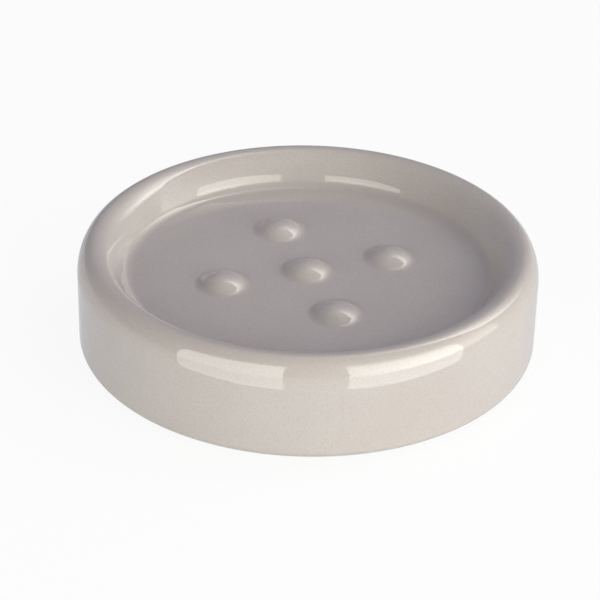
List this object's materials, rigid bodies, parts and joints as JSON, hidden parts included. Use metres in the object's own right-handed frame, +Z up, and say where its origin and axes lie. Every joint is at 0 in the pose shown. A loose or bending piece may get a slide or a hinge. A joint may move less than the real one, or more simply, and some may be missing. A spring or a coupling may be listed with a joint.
{
  "type": "soap dish",
  "caption": "Round glazed ceramic soap dish with a soft rounded rim, a shallow tray with raised drainage bumps, a recessed underside and anti-slip pads.",
  "frame": {"origin": "on the surface that the dish stands on, under the centre of the dish", "axes": "+Z up along the axis of the dish, +X and +Y through the drainage bumps, front towards -Y"},
  "size_m": [0.11, 0.11, 0.0258],
  "materials": {
    "glaze": "glossy greige glaze, unglazed on the foot ring",
    "pad_silicone": "milky silicone, satin"
  },
  "bodies": {
    "root": {"dish_body": "glaze", "anti_slip_pad_back_right": "pad_silicone", "anti_slip_pad_back_left": "pad_silicone", "anti_slip_pad_front_left": "pad_silicone", "anti_slip_pad_front_right": "pad_silicone"}
  },
  "joints": []
}
